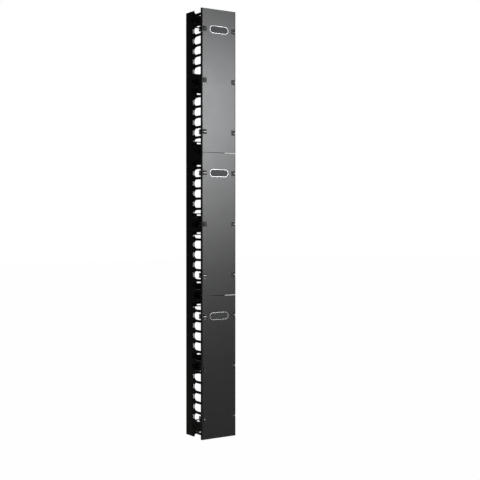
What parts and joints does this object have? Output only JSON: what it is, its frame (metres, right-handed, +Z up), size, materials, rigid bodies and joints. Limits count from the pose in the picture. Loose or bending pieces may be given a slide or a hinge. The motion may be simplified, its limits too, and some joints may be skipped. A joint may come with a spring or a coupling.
{
  "type": "vertical cable manager",
  "caption": "Tall open cable duct for the side of a rack, with finger combs, snap hinge clips and swinging covers over a folded back channel.",
  "frame": {"origin": "middle of the row of mounting holes, on the outer face of the right web", "axes": "+X to the right seen from the front, +Y towards the back, +Z up along the duct"},
  "size_m": [0.176, 0.152, 1.8669],
  "materials": {
    "steel": "black powder coat, satin",
    "finger_plastic": "moulded black, matte",
    "clip_plastic": "moulded black, satin",
    "cover_plastic": "moulded black, satin",
    "zinc": "zinc plated"
  },
  "bodies": {
    "frame": {"lower_channel": "steel", "lower_left_fingers": "finger_plastic", "lower_right_fingers": "finger_plastic", "lower_strip_studs": "zinc", "lower_strip_nuts": "zinc", "lower_left_clip_bottom": "clip_plastic", "lower_left_clip_mid": "clip_plastic", "lower_left_clip_top": "clip_plastic", "lower_right_clip_bottom": "clip_plastic", "lower_right_clip_mid": "clip_plastic", "lower_right_clip_top": "clip_plastic", "middle_channel": "steel", "middle_left_fingers": "finger_plastic", "middle_right_fingers": "finger_plastic", "middle_strip_studs": "zinc", "middle_strip_nuts": "zinc", "middle_left_clip_bottom": "clip_plastic", "middle_left_clip_mid": "clip_plastic", "middle_left_clip_top": "clip_plastic", "middle_right_clip_bottom": "clip_plastic", "middle_right_clip_mid": "clip_plastic", "middle_right_clip_top": "clip_plastic", "upper_channel": "steel", "upper_left_fingers": "finger_plastic", "upper_right_fingers": "finger_plastic", "upper_strip_studs": "zinc", "upper_strip_nuts": "zinc", "upper_left_clip_bottom": "clip_plastic", "upper_left_clip_mid": "clip_plastic", "upper_left_clip_top": "clip_plastic", "upper_right_clip_bottom": "clip_plastic", "upper_right_clip_mid": "clip_plastic", "upper_right_clip_top": "clip_plastic"},
    "lower_cover": {"lower_cover": "cover_plastic", "lower_cover_pins": "zinc"},
    "middle_cover": {"middle_cover": "cover_plastic", "middle_cover_pins": "zinc"},
    "upper_cover": {"upper_cover": "cover_plastic", "upper_cover_pins": "zinc"}
  },
  "joints": [
    {"name": "lower_cover_hinge", "type": "hinge", "parent": "frame", "child": "lower_cover", "pos_m": [-0.15825, -0.115, -0.70009], "axis": [0, 0, -1], "range_deg": [0, 120]},
    {"name": "middle_cover_hinge", "type": "hinge", "parent": "frame", "child": "middle_cover", "pos_m": [-0.15825, -0.115, -0.07779], "axis": [0, 0, -1], "range_deg": [0, 120]},
    {"name": "upper_cover_hinge", "type": "hinge", "parent": "frame", "child": "upper_cover", "pos_m": [-0.15825, -0.115, 0.54451], "axis": [0, 0, -1], "range_deg": [0, 120]}
  ]
}
